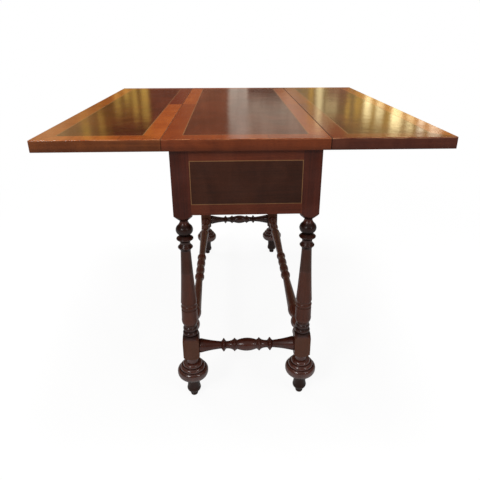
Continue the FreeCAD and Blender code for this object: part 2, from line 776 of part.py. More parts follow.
def hinge_half(name, reach, direction, first, slack):
    """One half of a hinge at Y = 0, and the bed that it takes up in the wood."""
    plate = doc.addObject("Part::Wedge", name + "Plate")
    bind(plate, Xmin="-HingeNarrow/2", Xmax="HingeNarrow/2", X2min="-HingeWide/2", X2max="HingeWide/2",
         Ymax=reach, Zmax="PlateThick", Z2max="PlateThick")
    plate.Ymin = plate.Zmin = plate.Z2min = 0
    place(plate, hinge_joint, "0", top_under, Rotation(Vector(0, 0, 1), -90 * direction))
    count = int(sheet.get("BarrelCount"))
    barrels, gaps = [], []
    for index in range(count):
        low = "%d*HingeNarrow/%d - HingeNarrow/2" % (index, count)
        if index % 2 == first:
            barrels.append(rod("%sBarrel%d" % (name, index), "BarrelRadius",
                               "HingeNarrow/%d - BarrelGap" % count,
                               hinge_joint, low + " + BarrelGap/2", hinge_height, along_y))
        else:
            gaps.append(rod("%sGap%d" % (name, index), "BarrelRadius + BarrelSlack", "HingeNarrow/%d" % count,
                            hinge_joint, low, hinge_height, along_y))
    pinhole = rod(name + "Pinhole", "HingePinRadius + " + slack, "HingeNarrow", hinge_joint, "-HingeNarrow/2",
                  hinge_height, along_y)
    groove = rod(name + "Groove", "BarrelRadius + BarrelSlack", "HingeNarrow + 2*GrooveSlack", hinge_joint,
                 "-HingeNarrow/2 - GrooveSlack", hinge_height, along_y)
    half = cut(name + "Half", fuse(name + "Blank", plate, *barrels), *gaps, pinhole)
    return half, group(name + "Bed", plate, groove)


def build_top():
    """The centre board and the leaves, let in for the hinges, and the hinges with their screws."""
    spots = [Vector(0, amount("TopLength/2 - HingeInset") * step, 0) for step in (-1, 0, 1)]
    half_y = "TopLength/2"
    hinge_screw = place(screw("HingeScrew", "ScrewLength"), "0", "0", top_under)
    beds, screws = {}, {}
    for name, reach, direction, first, slack, rows in (
        ("Plate", "PlateReach", -1, 0, "0", ((0.65, (-1, 1)),)),
        ("Flap", "FlapReach", 1, 1, "PinSlack", ((0.4, (-1, 1)), (0.8, (0,)))),
    ):
        half, bed = hinge_half(name, reach, direction, first, slack)
        joint, step = amount(hinge_joint), amount("0.3*HingeNarrow")
        across = [
            Vector(joint + direction * share * amount(reach), side * step, 0)
            for share, sides in rows for side in sides
        ]
        screws[name] = copies(name + "Screws", hinge_screw, [spot + move for spot in spots for move in across])
        beds[name] = copies(name + "Beds", bed, spots)
        halves = copies(name + "Set", half, spots)
        both_sides(cut(name + "Bored", halves, screws[name]), "hinge_%ss" % name.lower())
    pin = rod("HingePin", "HingePinRadius", "HingeNarrow", hinge_joint, "-HingeNarrow/2",
              hinge_height, along_y)
    both_sides(copies("HingePins", pin, spots), "hinge_pins")
    both_sides(screws["Flap"], "flap_screws")
    left_screws = mirrored("LeftPlateScrews", screws["Plate"], Vector(1, 0, 0))
    keep(group("PlateScrewPairs", screws["Plate"], left_screws), "plate_screws")

    centre = common("CentreBoard", eased_tops["Centre"],
                    block("CentreBlank", ("-(%s)" % core_side, core_side), ("-" + half_y, half_y),
                          (top_under, core_top)))
    near_side = [beds["Plate"], screws["Plate"]]
    far_side = [mirrored("Opposite" + thing.Name, thing, Vector(1, 0, 0)) for thing in near_side]
    keep(cut("CentreTop", centre, *near_side, *far_side, top_screws), "top_centre")
    leaf = common("LeafBoard", eased_tops["Leaf"],
                  block("LeafBlank", (leaf_near, leaf_far), ("-" + half_y, half_y), (top_under, core_top)))
    both_sides(cut("LeafTop", leaf, beds["Flap"], screws["Flap"]), "leaf")


# Screws that several pieces are bored for: up through the bearers, and outwards through the side aprons.
long_screw = place(screw("TopScrew", "LongScrew"), "0", "0", top_under + " - BearerThick")
top_screws = copies("TopScrews", long_screw, [
    Vector(amount(side_apron_in + " - BearerScrew") * side, amount(bearer_mid) * end, 0)
    for side in (-1, 1) for end in (-1, 1)
])
rail_screw = place(screw("RailScrew", "LongScrew"), side_apron_in, "0", apron_low, along_x)
fly_rail_screws = copies("RailScrews", rail_screw, [
    Vector(0, amount(scaled(pivot, 0.65)) * end, amount("ApronDepth") * height)
    for end in (-1, 1) for height in (0.3, 0.7)
])

# The boards of the top as wholes. Their cores and their veneers are cut to these.
core_sides = (scaled(core_side, -1), core_side)
eased_tops = {
    "Centre": eased_board("EasedCentre", core_sides, core_sides),
    "Leaf": eased_board("EasedLeaf", (leaf_near, leaf_far), (leaf_near,)),
}

build_legs()
build_feet()
build_end_stretchers()
build_side_stretchers()
build_end_aprons()
build_side_aprons()
build_fly_rails()
build_bearers()
build_top()
build_veneers()
keep(top_screws, "top_screws")
keep(group("RailScrewPairs", fly_rail_screws, mirrored("LeftRailScrews", fly_rail_screws, Vector(1, 0, 0))),
     "fly_rail_screws")
doc.recompute()

failed = [thing.Name for thing in doc.Objects if {"Invalid", "Error"} & set(thing.State)]
if failed:
    raise RuntimeError("not built: " + ", ".join(failed))
os.makedirs("parts", exist_ok=True)
for piece in pieces:
    if piece.Shape.isNull() or not piece.Shape.isValid():
        raise RuntimeError("bad shape: " + piece.Label)
    piece.Shape.exportStep(os.path.join("parts", piece.Label + ".step"))
print(len(pieces), "pieces")
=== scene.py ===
import math

import bpy
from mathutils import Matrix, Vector


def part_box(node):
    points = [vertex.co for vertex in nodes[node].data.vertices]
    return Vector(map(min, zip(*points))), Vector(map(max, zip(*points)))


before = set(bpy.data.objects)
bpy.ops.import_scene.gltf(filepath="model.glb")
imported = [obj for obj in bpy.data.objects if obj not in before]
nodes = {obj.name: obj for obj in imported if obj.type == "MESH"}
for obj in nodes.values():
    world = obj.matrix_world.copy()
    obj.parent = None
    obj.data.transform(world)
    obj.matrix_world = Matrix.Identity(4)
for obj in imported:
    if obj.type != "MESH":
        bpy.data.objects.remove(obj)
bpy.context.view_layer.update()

print("frame loaded:", len(nodes), "nodes")


# Small helpers for shader trees

def hexColour(text):
    channels = [int(text[i:i + 2], 16) / 255 for i in (1, 3, 5)]
    linear = [c / 12.92 if c < 0.04045 else ((c + 0.055) / 1.055) ** 2.4 for c in channels]
    return (*linear, 1.0)


def feed(tree, socket, value):
    if isinstance(value, bpy.types.NodeSocket):
        tree.links.new(value, socket)
    else:
        socket.default_value = value


def addNode(tree, kind, settings=None, **inputs):
    made = tree.nodes.new("ShaderNode" + kind)
    for name, value in (settings or {}).items():
        setattr(made, name, value)
    for name, value in inputs.items():
        feed(tree, made.inputs[name.replace("_", " ")], value)
    return made


def calc(tree, operation, *values, clamp=False):
    made = addNode(tree, "Math", {"operation": operation, "use_clamp": clamp})
    for socket, value in zip(made.inputs, values):
        feed(tree, socket, value)
    return made.outputs[0]


def vectorCalc(tree, operation, *values, output="Vector"):
    made = addNode(tree, "VectorMath", {"operation": operation})
    for socket, value in zip(made.inputs, values):
        feed(tree, socket, value)
    return made.outputs[output]


def remap(tree, value, low, high, toLow=0.0, toHigh=1.0, smooth=False):
    kind = "SMOOTHSTEP" if smooth else "LINEAR"
    made = addNode(tree, "MapRange", {"interpolation_type": kind, "clamp": True}, Value=value,
                   From_Min=low, From_Max=high, To_Min=toLow, To_Max=toHigh)
    return made.outputs["Result"]


def mixColours(tree, share, first, second):
    made = addNode(tree, "Mix", {"data_type": "RGBA", "clamp_factor": True})
    feed(tree, made.inputs[0], share)
    feed(tree, made.inputs[6], first)
    feed(tree, made.inputs[7], second)
    return made.outputs[2]


def tint(tree, colour, mask, share, hexText):
    return mixColours(tree, calc(tree, "MULTIPLY", mask, share), colour, hexColour(hexText))


def colourRamp(tree, value, stops):
    made = addNode(tree, "ValToRGB", None, Fac=value)
    ramp = made.color_ramp
    while len(ramp.elements) < len(stops):
        ramp.elements.new(0.5)
    for element, (place, colour) in zip(ramp.elements, stops):
        element.position, element.color = place, hexColour(colour)
    return made.outputs["Color"]


def stretch(tree, vector, scale=(1, 1, 1), turn=(0, 0, 0)):
    made = addNode(tree, "Mapping", None, Vector=vector, Scale=scale,
                   Rotation=[math.radians(angle) for angle in turn])
    return made.outputs["Vector"]


def noise(tree, vector, scale, detail=3.0, roughness=0.55, warp=0.0, output="Fac"):
    made = addNode(tree, "TexNoise", None, Vector=vector, Scale=scale, Detail=detail,
                   Roughness=roughness, Distortion=warp)
    return made.outputs[output]


def splitAxes(tree, vector):
    made = addNode(tree, "SeparateXYZ", None, Vector=vector)
    return made.outputs["X"], made.outputs["Y"], made.outputs["Z"]


def joinAxes(tree, x, y, z):
    return addNode(tree, "CombineXYZ", None, X=x, Y=y, Z=z).outputs["Vector"]


def newGroup(name, inputs, outputs):
    tree = bpy.data.node_groups.new(name, "ShaderNodeTree")
    for label, value in inputs.items():
        kind = "Vector" if label == "Vector" else "Float"
        socket = tree.interface.new_socket(label, in_out="INPUT", socket_type="NodeSocket" + kind)
        if kind == "Float":
            socket.default_value = value
    for label, kind in outputs.items():
        tree.interface.new_socket(label, in_out="OUTPUT", socket_type="NodeSocket" + kind)
    start = tree.nodes.new("NodeGroupInput")
    end = tree.nodes.new("NodeGroupOutput")
    return tree, start.outputs, end.inputs


def useGroup(tree, group, **inputs):
    made = tree.nodes.new("ShaderNodeGroup")
    made.node_tree = group
    for name, value in inputs.items():
        feed(tree, made.inputs[name.replace("_", " ")], value)
    return made.outputs


# Effects that several finishes share

# scales of the grain's parts, low along the grain and high across it, and how sharply each shows
grainParts = {
    "drift": 3.0, "fine": (4, 190, 190), "broad": (1.4, 34, 34), "fineShare": 0.55, "streaks": (0.3, 0.7),
    "ribbon": (16, 7, 7), "figure": (0.35, 0.68), "pores": (160, 2200, 2200), "poreSpread": (0.6, 0.7),
}


def makeGrainGroup():
    # grain runs along the X axis of the vector that comes in
    tree, given, out = newGroup(
        "wood grain", {"Vector": None, "Fineness": 1.0, "Wander": 0.012},
        {"Streaks": "Float", "Figure": "Float", "Pores": "Float"})
    drift = noise(tree, given["Vector"], grainParts["drift"], detail=2.0, output="Color")
    drift = vectorCalc(tree, "SUBTRACT", drift, (0.5, 0.5, 0.5))
    wander = joinAxes(tree, 0.0, given["Wander"], given["Wander"])
    wood = vectorCalc(tree, "ADD", given["Vector"], vectorCalc(tree, "MULTIPLY", drift, wander))
    scaled = addNode(tree, "VectorMath", {"operation": "SCALE"}, Scale=given["Fineness"])
    feed(tree, scaled.inputs[0], wood)
    wood = scaled.outputs["Vector"]
    fine = noise(tree, stretch(tree, wood, grainParts["fine"]), 1.0, detail=5.0, roughness=0.62)
    broad = noise(tree, stretch(tree, wood, grainParts["broad"]), 1.0, detail=3.0, roughness=0.5)
    streaks = calc(tree, "ADD", calc(tree, "MULTIPLY", fine, grainParts["fineShare"]),
                   calc(tree, "MULTIPLY", broad, 1 - grainParts["fineShare"]))
    feed(tree, out["Streaks"], remap(tree, streaks, *grainParts["streaks"]))
    ribbon = noise(tree, stretch(tree, wood, grainParts["ribbon"]), 1.0, detail=4.0, warp=0.6)
    feed(tree, out["Figure"], remap(tree, ribbon, *grainParts["figure"], smooth=True))
    pores = noise(tree, stretch(tree, wood, grainParts["pores"]), 1.0, detail=1.0)
    feed(tree, out["Pores"], remap(tree, pores, *grainParts["poreSpread"]))
    return tree


varnishParts = {
    "smears": 9.0, "scratches": (5, 520, 520), "scratchTurns": (12, 64, 141), "scratchSpread": (0.66, 0.72),
    "scratchRough": 0.35, "scratchDepth": 0.15, "patches": 24.0, "patchSpread": (0.3, 0.7),
    "thin": 0.55, "thick": 1.25, "ripple": 60.0, "swell": 16.0, "swellShare": 2.5,
}


def makeVarnishGroup():
    # wiped smears, fine scratches in three directions, thin patches, and the ripple of old brushwork
    tree, given, out = newGroup(
        "old varnish", {"Vector": None, "Gloss": 0.25, "Smears": 0.1, "Scratches": 0.3, "Polish": 0.25},
        {"Roughness": "Float", "Height": "Float", "Coat": "Float"})
    smears = noise(tree, given["Vector"], varnishParts["smears"], detail=5.0, roughness=0.6, warp=0.8)
    smears = calc(tree, "MULTIPLY", calc(tree, "SUBTRACT", smears, 0.5), given["Smears"])
    scratches = 0.0
    for turn in varnishParts["scratchTurns"]:
        turned = stretch(tree, given["Vector"], varnishParts["scratches"], turn=(0, 0, turn))
        lines = remap(tree, noise(tree, turned, 1.0, detail=2.0), *varnishParts["scratchSpread"])
        scratches = calc(tree, "MAXIMUM", scratches, lines)
    scratches = calc(tree, "MULTIPLY", scratches, given["Scratches"])
    rough = calc(tree, "ADD", calc(tree, "ADD", given["Gloss"], smears),
                 calc(tree, "MULTIPLY", scratches, varnishParts["scratchRough"]), clamp=True)
    feed(tree, out["Roughness"], rough)
    patches = noise(tree, given["Vector"], varnishParts["patches"], detail=4.0, roughness=0.6)
    coat = remap(tree, patches, *varnishParts["patchSpread"], varnishParts["thin"], varnishParts["thick"])
    feed(tree, out["Coat"], calc(tree, "MULTIPLY", coat, given["Polish"]))
    ripple = noise(tree, given["Vector"], varnishParts["ripple"], detail=3.0, roughness=0.5)
    swell = noise(tree, given["Vector"], varnishParts["swell"], detail=1.0)
    ripple = calc(tree, "ADD", ripple, calc(tree, "MULTIPLY", swell, varnishParts["swellShare"]))
    cuts = calc(tree, "MULTIPLY", scratches, varnishParts["scratchDepth"])
    feed(tree, out["Height"], calc(tree, "SUBTRACT", ripple, cuts))
    return tree


wearAndShadeParts = {"samples": 4, "patches": 38.0, "patchSpread": (0.42, 0.62), "rubbingAndSheen": (0.12, 0.55),
             "quirkShade": (0.04, 0.55), "under": (-0.75, -0.05)}


def makeWearAndShadeGroup():
    # edges that the rubbing of hands and cloths leaves bright, with a painted highlight, and painted shade
    # in the quirks and undersides
    tree, given, out = newGroup(
        "rubs, sheen and painted shade", {"Vector": None, "Rub Width": 0.002, "Grime Width": 0.008},
        {"Rubbing And Sheen": "Float", "Quirk Shade": "Float", "Underside Shade": "Float"})
    inside = addNode(tree, "AmbientOcclusion",
                     {"inside": True, "only_local": True, "samples": wearAndShadeParts["samples"]},
                     Distance=given["Rub Width"])
    outside = addNode(tree, "AmbientOcclusion", {"only_local": True, "samples": wearAndShadeParts["samples"]},
                      Distance=given["Grime Width"])
    patchy = noise(tree, given["Vector"], wearAndShadeParts["patches"], detail=5.0, roughness=0.65)
    # lighter on the convex edges: worn by rubbing, and a painted highlight
    rubbingAndSheen = calc(tree, "SUBTRACT", 1.0, inside.outputs["AO"])
    rubbingAndSheen = calc(tree, "MULTIPLY", rubbingAndSheen, remap(tree, patchy, *wearAndShadeParts["patchSpread"]))
    feed(tree, out["Rubbing And Sheen"], remap(tree, rubbingAndSheen, *wearAndShadeParts["rubbingAndSheen"]))
    # painted shade in the quirks, found by ambient occlusion
    quirkShade = calc(tree, "SUBTRACT", 1.0, outside.outputs["AO"])
    quirkShade = calc(tree, "MULTIPLY", quirkShade, calc(tree, "ADD", patchy, 0.5))
    feed(tree, out["Quirk Shade"], remap(tree, quirkShade, *wearAndShadeParts["quirkShade"]))
    # painted shade on the surfaces that face down
    facing = splitAxes(tree, addNode(tree, "NewGeometry").outputs["Normal"])[2]
    feed(tree, out["Underside Shade"], remap(tree, facing, *wearAndShadeParts["under"], 1.0, 0.0, smooth=True))
    return tree


# the crossbanding's step in tone at a butt joint, and how far off on the sheet the next pieces were cut
bandSteps = {"tone": 0.12, "alongSheet": 0.37, "nextSheet": 0.81}


def makeCrossbandGroup():
    # four mitred strips round a board; the grain of each runs across it, and each is butted from two pieces
    tree, given, out = newGroup(
        "crossbanding", {"Vector": None, "Middle": 0.0, "Half Width": 0.19, "Half Length": 0.5,
                         "Side Butt": 0.03, "End Butt": 0.05, "Mitre": 0.0006,
                         "Left Near": 0.5, "Left Far": 0.5, "Right Near": 0.5, "Right Far": 0.5,
                         "Front": 0.5, "Back": 0.5},
        {"Across": "Vector", "Tone": "Float", "Joint": "Float", "From Edge": "Float"})
    x, y, z = splitAxes(tree, given["Vector"])
    x = calc(tree, "SUBTRACT", x, given["Middle"])
    fromSide = calc(tree, "SUBTRACT", given["Half Width"], calc(tree, "ABSOLUTE", x))
    fromEnd = calc(tree, "SUBTRACT", given["Half Length"], calc(tree, "ABSOLUTE", y))
    onSide = calc(tree, "LESS_THAN", fromSide, fromEnd)

    def either(mask, first, second):
        difference = calc(tree, "SUBTRACT", first, second)
        return calc(tree, "ADD", second, calc(tree, "MULTIPLY", mask, difference))

    butt = either(onSide, given["Side Butt"], given["End Butt"])
    along, across = either(onSide, y, x), either(onSide, x, y)
    beyond = calc(tree, "GREATER_THAN", along, butt)
    toRight, toBack = calc(tree, "GREATER_THAN", x, 0.0), calc(tree, "GREATER_THAN", y, 0.0)
    sideTone = either(beyond, either(toRight, given["Right Far"], given["Left Far"]),
                      either(toRight, given["Right Near"], given["Left Near"]))
    endTone = calc(tree, "ADD", either(toBack, given["Back"], given["Front"]),
                   calc(tree, "MULTIPLY", beyond, bandSteps["tone"]))
    feed(tree, out["Tone"], either(onSide, sideTone, endTone))
    shift = calc(tree, "ADD", calc(tree, "MULTIPLY", beyond, bandSteps["alongSheet"]),
                 calc(tree, "MULTIPLY", toRight, bandSteps["nextSheet"]))
    feed(tree, out["Across"], joinAxes(tree, across, calc(tree, "ADD", along, shift), z))
    toButt = calc(tree, "ABSOLUTE", calc(tree, "SUBTRACT", along, butt))
    toMitre = calc(tree, "ABSOLUTE", calc(tree, "SUBTRACT", fromSide, fromEnd))
    toJoint = calc(tree, "MINIMUM", toButt, toMitre)
    feed(tree, out["Joint"], calc(tree, "LESS_THAN", toJoint, given["Mitre"]))
    feed(tree, out["From Edge"], calc(tree, "MINIMUM", fromSide, fromEnd))
    return tree


grainGroup = makeGrainGroup()
varnishGroup = makeVarnishGroup()
wearAndShadeGroup = makeWearAndShadeGroup()
crossbandGroup = makeCrossbandGroup()
print("shared effects:", len(bpy.data.node_groups))


# Materials

grainTurn = {"x": (0, 0, 0), "y": (0, 0, -90), "z": (0, 90, 0)}  # brings the grain's axis onto X


def newMaterial(name, **settings):
    material = bpy.data.materials.new(name)
    material.use_nodes = True
    tree = material.node_tree
    shader = tree.nodes["Principled BSDF"]
    for label, value in settings.items():
        shader.inputs[label.replace("_", " ")].default_value = value
    return material, tree, shader


def dress(material, *names):
    for name in names:
        for slot in nodes[name].material_slots:
            slot.material = material


def objectPlace(tree):
    return addNode(tree, "TexCoord").outputs["Object"]


def woodColour(tree, look, grain):
    tone = mixColours(tree, grain["Streaks"], hexColour(look["dark"]), hexColour(look["light"]))
    tone = tint(tree, tone, grain["Figure"], look["figure"], look["flash"])
    return tint(tree, tone, grain["Pores"], look["pores"], look["pore"])


# how rough a dusty joint is, how deep the varnish ripples, and the slants between which polish fades
surface = {"dustRough": 0.95, "rippleDepth": 0.0006, "fade": (0.45, 0.9)}


def finishSurface(tree, shader, colour, place, look, bare=None, dull=None):
    varnish = useGroup(tree, varnishGroup, Vector=place, Gloss=look["gloss"], Smears=look["smears"],
                       Scratches=look["scratches"], Polish=look["polish"])
    feed(tree, shader.inputs["Base Color"], colour)
    rough = varnish["Roughness"]
    if dull is not None:
        rough = calc(tree, "MAXIMUM", rough, calc(tree, "MULTIPLY", dull, surface["dustRough"]))
    feed(tree, shader.inputs["Roughness"], rough)
    if look["polish"]:
        # worn polish mirrors little at a glancing angle
        glancing = addNode(tree, "LayerWeight", None, Blend=0.5).outputs["Facing"]
        coat = calc(tree, "MULTIPLY", varnish["Coat"],
                    remap(tree, glancing, *surface["fade"], 1.0, look["rim"]))
        if bare is not None:
            coat = calc(tree, "MULTIPLY", coat, calc(tree, "SUBTRACT", 1.0, bare))
        feed(tree, shader.inputs["Coat Weight"], coat)
    bump = addNode(tree, "Bump", None, Strength=look["bump"], Distance=surface["rippleDepth"],
                   Height=varnish["Height"])
    feed(tree, shader.inputs["Normal"], bump.outputs["Normal"])


def woodMaterial(name, look):
    return newMaterial(name, Specular_IOR_Level=look["specular"], Coat_Roughness=look["coatRough"])


zoneBlend = 0.003  # half the height over which one zone of a turned piece fades into the next


def turnedWood(name, grainAxis, look):
    material, tree, shader = woodMaterial(name, look)
    place = objectPlace(tree)
    grain = useGroup(tree, grainGroup, Vector=stretch(tree, place, turn=grainTurn[grainAxis]),
                     Fineness=look["fineness"])
    wearAndShade = useGroup(tree, wearAndShadeGroup, Vector=place, Rub_Width=look["rubbingAndSheenWidth"],
                    Grime_Width=look["quirkShadeWidth"])
    colour = woodColour(tree, look, grain)
    # lighter on the convex edges: worn by rubbing, and a painted highlight
    colour = tint(tree, colour, wearAndShade["Rubbing And Sheen"], look["rubbingAndSheen"], look["rubbingAndSheenColour"])
    # painted shade in the quirks
    colour = tint(tree, colour, wearAndShade["Quirk Shade"], look["quirkShade"], look["paintedShadeColour"])
    # painted shade on the surfaces that face down
    colour = tint(tree, colour, wearAndShade["Underside Shade"], look["under"], look["paintedShadeColour"])
    bare = calc(tree, "MULTIPLY", wearAndShade["Underside Shade"], look["underBare"])
    up = splitAxes(tree, place)[2]
    for zone in look.get("zones", ()):
        low, high = zone["span"]
        inside = calc(tree, "MULTIPLY", remap(tree, up, low - zoneBlend, low + zoneBlend),
                      remap(tree, up, high - zoneBlend, high + zoneBlend, 1.0, 0.0))
        if "faded" in zone:
            colour = tint(tree, colour, inside, zone["faded"], look["fadedColour"])
        # painted shade: the zone is darkened towards the shade colour
        if "dark" in zone:
            colour = tint(tree, colour, inside, zone["dark"], look["paintedShadeColour"])
        if "dull" in zone:
            bare = calc(tree, "MAXIMUM", bare, calc(tree, "MULTIPLY", inside, zone["dull"]))
    finishSurface(tree, shader, colour, place, look, bare)
    return material


frameLook = {
    "dark": "#240d07", "light": "#3c180f", "flash": "#4a2217", "pore": "#120603", "figure": 0.25,
    "pores": 0.5, "fineness": 1.0, "rubbingAndSheenWidth": 0.002, "quirkShadeWidth": 0.007, "rubbingAndSheen": 0.5, "rubbingAndSheenColour": "#6b3a26",
    "quirkShade": 0.75, "paintedShadeColour": "#0b0503", "under": 0.7, "underBare": 0.8, "gloss": 0.4, "smears": 0.12,
    "scratches": 0.4, "bump": 0.25, "specular": 0.04, "polish": 0.55, "coatRough": 0.27, "rim": 0.12,
}

sides = ("left", "right")
quarters = [end + "_" + side for end in ("front", "rear") for side in sides]
# zones of a turned piece, by height above the floor: how far its red has faded, how much painted shade
# darkens it, and how much of its gloss has gone
legLook = {**frameLook, "light": "#41190e", "fadedColour": "#432a1c", "zones": [
    {"span": (0.13, 0.2), "faded": 0.6, "dull": 0.6},                   # stretcher block
    {"span": (0.203, 0.242), "dark": 0.6},                              # two rings over the block
    {"span": (0.242, 0.4), "faded": 0.25, "dull": 0.5},                 # vase and lower taper
    {"span": (0.4, 0.463), "faded": 0.35, "dark": 0.3, "dull": 0.6},    # upper taper
    {"span": (0.463, 0.503), "dark": 0.5, "dull": 0.1},                 # two rings under the bulb
    {"span": (0.503, 0.535), "dark": 0.75, "dull": 0.45},               # bulb
    {"span": (0.552, 0.73), "dull": 0.72},                              # square beside the aprons
]}
footLook = {**frameLook, "light": "#46231a", "rubbingAndSheen": 0.9, "rubbingAndSheenColour": "#7d574a", "polish": 0.9,
            "coatRough": 0.22,
            # the dark zone under the bun is painted shade
            "zones": [{"span": (-0.01, 0.062), "dark": 0.75, "dull": 0.75}]}    # under the bun
railLook = {**frameLook, "dark": "#31160e", "light": "#4d261a", "rubbingAndSheenColour": "#80523c"}
dress(turnedWood("leg wood", "z", legLook), *("leg_" + quarter for quarter in quarters))
dress(turnedWood("foot wood", "z", footLook), *("foot_" + quarter for quarter in quarters))
dress(turnedWood("end rail wood", "x", frameLook), "stretcher_front")
# the rear rail is the end rail's wood painted darker: painted shade under the top
shadedRearRailLook = {**frameLook, "dark": "#1c0b07", "light": "#2f160d"}
dress(turnedWood("rear rail in painted shade", "x", shadedRearRailLook), "stretcher_rear")
dress(turnedWood("side rail wood", "y", railLook), "stretcher_left", "stretcher_right")

apronLook = {**frameLook, "dark": "#35150b", "light": "#502314", "flash": "#5e2f1b", "rubbingAndSheen": 0.3,
             "quirkShade": 0.5, "polish": 0.12}
dress(turnedWood("apron wood", "x", apronLook), "end_apron_front", "end_apron_rear")

panelLook = {**frameLook, "dark": "#1f0f08", "light": "#31170d", "flash": "#3e2115", "figure": 0.35,
             "rubbingAndSheen": 0.0, "quirkShade": 0.3, "polish": 0.1}
dress(turnedWood("apron field", "x", panelLook), "end_field_front", "end_field_rear")

innerLook = {**frameLook, "dark": "#3c2114", "light": "#5c3822", "flash": "#684229", "gloss": 0.55,
             "smears": 0.2, "specular": 0.2, "polish": 0.0, "rubbingAndSheen": 0.2, "rubbingAndSheenColour": "#94683f",
             "paintedShadeColour": "#1c100a"}
dress(turnedWood("inner wood", "y", innerLook),
      *(kind + side for kind in ("side_apron_", "fly_rail_") for side in sides),
      *(kind + quarter for kind in ("fly_rail_end_", "fly_bracket_") for quarter in quarters))
dress(turnedWood("bearer wood", "x", innerLook), "bearer_front", "bearer_rear")

# chipped spots and a painted highlight lie between two depths under the top of an edge, and painted shade
# lies along its foot
edgeLook = {
    "dark": "#42190c", "light": "#652c17", "flash": "#75381d", "pore": "#220c06", "figure": 0.35,
    "pores": 0.45, "fineness": 1.0, "gloss": 0.4, "smears": 0.12, "scratches": 0.4, "bump": 0.08,
    "specular": 0.04, "polish": 0.12, "coatRough": 0.22, "rim": 0.12,
    "chipsAndGlint": 0.5, "chipAndGlintColour": "#9c6641", "chipScale": (28, 28, 300), "chipSpread": (0.44, 0.62),
    "chipDepths": (0.0024, 0.0004), "foot": 0.5, "footColour": "#1d0b06", "footHeight": 0.014,
    "seam": "#210d07", "seamWidth": 0.0015, "underDark": "#33190f", "underLight": "#4e2e1c",
}
# tones of the crossbanding: 0 is the orange veneer and 1 the deep red
boards = {
    "centre": {"core": "top_centre", "edge": {"dark": "#3c180a", "light": "#5d2a13"},
               "tones": {"Left_Near": 0.6, "Left_Far": 0.1, "Right_Near": 0.5, "Right_Far": 0.35,
                         "Front": 0.55, "Back": 0.6}},
    "left": {"core": "leaf_left", "edge": {"dark": "#42200e", "light": "#623318", "flash": "#6f3d1c"},
             "tones": {"Left_Near": 0.45, "Left_Far": 0.2, "Right_Near": 0.0, "Right_Far": 0.95,
                       "Front": 0.2, "Back": 0.6}},
    "right": {"core": "leaf_right",
              "edge": {"dark": "#30140d", "light": "#472217", "flash": "#532a1b", "chipAndGlintColour": "#b98a66"},
              "tones": {"Left_Near": 0.9, "Left_Far": 0.6, "Right_Near": 0.3, "Right_Far": 0.4,
                        "Front": 0.9, "Back": 0.5}},
}
fieldLook = {
    "dark": "#2a0d07", "light": "#4a1c10", "flash": "#5c2716", "pore": "#160704", "figure": 0.5,
    "pores": 0.4, "fineness": 0.8, "gloss": 0.1, "smears": 0.08, "scratches": 0.3, "bump": 0.12,
    "specular": 0.5, "polish": 0.0, "coatRough": 0.1,
}
bandLook = {
    **fieldLook, "dark": "#7a3410", "light": "#a04f1b", "flash": "#b05f25", "pore": "#451c0c",
    "figure": 0.4, "fineness": 1.1, "gloss": 0.12, "deep": "#56190a", "joint": "#3a190c",
    "chipsAndGlint": 0.45, "chipAndGlintColour": "#c08a5e", "chipScale": 30.0, "chipSpread": (0.46, 0.62), "chipWidth": 0.0016,
    "seam": "#1c0905", "seamWidth": 0.0016,
}
stringLook = {
    **fieldLook, "dark": "#644229", "light": "#87613d", "flash": "#94704a", "pore": "#50351f",
    "figure": 0.3, "pores": 0.3, "fineness": 1.0, "gloss": 0.2, "smears": 0.1, "specular": 0.4,
}
# the joints between the boards: where they lie, how much of the width is solid dark, and how dark each is
seams = {"at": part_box("top_centre")[1].x, "solid": 0.4, "left": 0.55, "right": 1.0}


def darkSeam(tree, place, colour, look, share=1.0):
    # old polish and dust fill the joints between the boards
    x = splitAxes(tree, place)[0]
    toSeam = calc(tree, "ABSOLUTE", calc(tree, "SUBTRACT", calc(tree, "ABSOLUTE", x), seams["at"]))
    near = remap(tree, toSeam, look["seamWidth"] * seams["solid"], look["seamWidth"], 1.0, 0.0,
                 smooth=True)
    onRight = calc(tree, "GREATER_THAN", x, 0.0)
    dark = remap(tree, onRight, 0.0, 1.0, seams["left"], seams["right"])
    near = calc(tree, "MULTIPLY", near, calc(tree, "MULTIPLY", share, dark))
    return mixColours(tree, near, colour, hexColour(look["seam"])), near


skin = {"face": 0.0004, "arris": 0.0012}  # how deep a face and its rounded arris reach into a board


